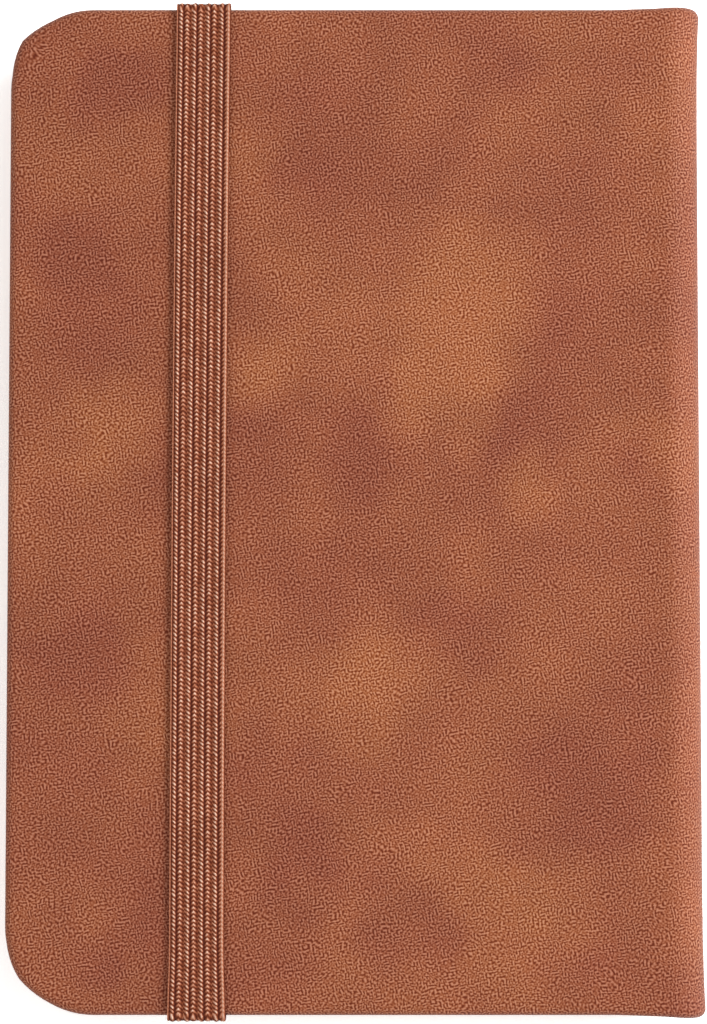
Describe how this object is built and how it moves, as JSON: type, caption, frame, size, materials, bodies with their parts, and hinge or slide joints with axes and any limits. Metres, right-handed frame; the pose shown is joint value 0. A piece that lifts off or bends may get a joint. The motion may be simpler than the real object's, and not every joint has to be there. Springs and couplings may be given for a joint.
{
  "type": "pocket notepad",
  "caption": "Pocket notepad with soft leather-look covers on board, a rounded spine, sewn pages and a ribbed elastic band stowed round the back cover.",
  "frame": {"origin": "bottom centre of the bounding box, on the outer face of the front cover", "axes": "+X from the fore edge to the spine, +Y from tail to head, +Z from the front cover up to the back cover and the elastic band"},
  "size_m": [0.084, 0.1238, 0.0133],
  "materials": {
    "cover_leather": "soft matte two-tone leather-look with fine pebble grain",
    "cover_board": "grey bookbinding board",
    "endpaper": "matte ivory endpaper",
    "page_paper": "matte ivory ruled paper",
    "spine_card": "plain card",
    "spine_muslin": "open-weave muslin set in glue",
    "linen_thread": "waxed linen thread",
    "elastic_strap": "ribbed woven elastic"
  },
  "bodies": {
    "front_cover": {"front_cover_leather": "cover_leather", "front_board": "cover_board", "front_pastedown": "endpaper", "front_hinge_leather": "cover_leather"},
    "section_1": {"page_section_1": "page_paper", "front_flyleaf": "endpaper"},
    "section_2": {"page_section_2": "page_paper"},
    "section_3": {"page_section_3": "page_paper"},
    "middle_lower": {"middle_section_lower": "page_paper", "sewing_thread": "linen_thread", "spine_lining": "spine_muslin"},
    "middle_upper": {"middle_section_upper": "page_paper"},
    "section_5": {"page_section_5": "page_paper"},
    "section_6": {"page_section_6": "page_paper"},
    "section_7": {"page_section_7": "page_paper", "back_flyleaf": "endpaper"},
    "spine": {"spine_leather": "cover_leather", "spine_card": "spine_card"},
    "back_cover": {"back_cover_leather": "cover_leather", "back_board": "cover_board", "back_pastedown": "endpaper", "back_hinge_leather": "cover_leather", "band_wrap_head": "elastic_strap", "band_wrap_tail": "elastic_strap", "band_anchor_head": "elastic_strap", "band_anchor_tail": "elastic_strap"},
    "band": {"elastic_band": "elastic_strap"}
  },
  "joints": [
    {"name": "spine_hinge", "type": "hinge", "parent": "front_cover", "child": "spine", "pos_m": [0.0395, 0, 0.0025], "axis": [0, 1, 0], "range_deg": [0, 89.5], "deforming": ["front_hinge_leather"]},
    {"name": "back_cover_hinge", "type": "hinge", "parent": "spine", "child": "back_cover", "pos_m": [0.0395, 0, 0.00998], "axis": [0, 1, 0], "range_deg": [0, 89.5], "deforming": ["back_hinge_leather"]},
    {"name": "section_1_hinge", "type": "hinge", "parent": "front_cover", "child": "section_1", "pos_m": [0.039, 0, -0.10925], "axis": [0, 1, 0], "range_deg": [0, 0.501]},
    {"name": "section_2_hinge", "type": "hinge", "parent": "section_1", "child": "section_2", "pos_m": [0.039, 0, -0.05216], "axis": [0, 1, 0], "range_deg": [0, 1]},
    {"name": "section_3_hinge", "type": "hinge", "parent": "section_2", "child": "section_3", "pos_m": [0.039, 0, -0.03252], "axis": [0, 1, 0], "range_deg": [0, 1.5]},
    {"name": "middle_lower_hinge", "type": "hinge", "parent": "section_3", "child": "middle_lower", "pos_m": [0.039, 0, -0.0129], "axis": [0, 1, 0], "range_deg": [0, 3]},
    {"name": "centre_fold_hinge", "type": "hinge", "parent": "middle_lower", "child": "middle_upper", "pos_m": [0.039, 0, 0.00624], "axis": [0, 1, 0], "range_deg": [0, 167], "deforming": ["spine_lining"]},
    {"name": "section_5_hinge", "type": "hinge", "parent": "middle_upper", "child": "section_5", "pos_m": [0.039, 0, 0.02538], "axis": [0, 1, 0], "range_deg": [0, 3]},
    {"name": "section_6_hinge", "type": "hinge", "parent": "section_5", "child": "section_6", "pos_m": [0.039, 0, 0.04501], "axis": [0, 1, 0], "range_deg": [0, 1.5]},
    {"name": "section_7_hinge", "type": "hinge", "parent": "section_6", "child": "section_7", "pos_m": [0.039, 0, 0.06464], "axis": [0, 1, 0], "range_deg": [0, 1]},
    {"name": "band_stretch", "type": "slide", "parent": "back_cover", "child": "band", "axis": [0, 0, 1], "range_m": [0, 0.028], "stiffness_N_per_m": 100, "springref_m": -0.002, "deforming": ["band_wrap_head", "band_wrap_tail"]}
  ],
  "couplings": [
    {"joint": "back_cover_hinge", "follows": "spine_hinge", "ratio": 1},
    {"joint": "section_1_hinge", "follows": "spine_hinge", "ratio": 0.005587},
    {"joint": "section_2_hinge", "follows": "spine_hinge", "ratio": 0.011173},
    {"joint": "section_3_hinge", "follows": "spine_hinge", "ratio": 0.01676},
    {"joint": "middle_lower_hinge", "follows": "spine_hinge", "ratio": 0.03352},
    {"joint": "centre_fold_hinge", "follows": "spine_hinge", "ratio": 1.8659},
    {"joint": "section_5_hinge", "follows": "spine_hinge", "ratio": 0.03352},
    {"joint": "section_6_hinge", "follows": "spine_hinge", "ratio": 0.01676},
    {"joint": "section_7_hinge", "follows": "spine_hinge", "ratio": 0.011173}
  ]
}
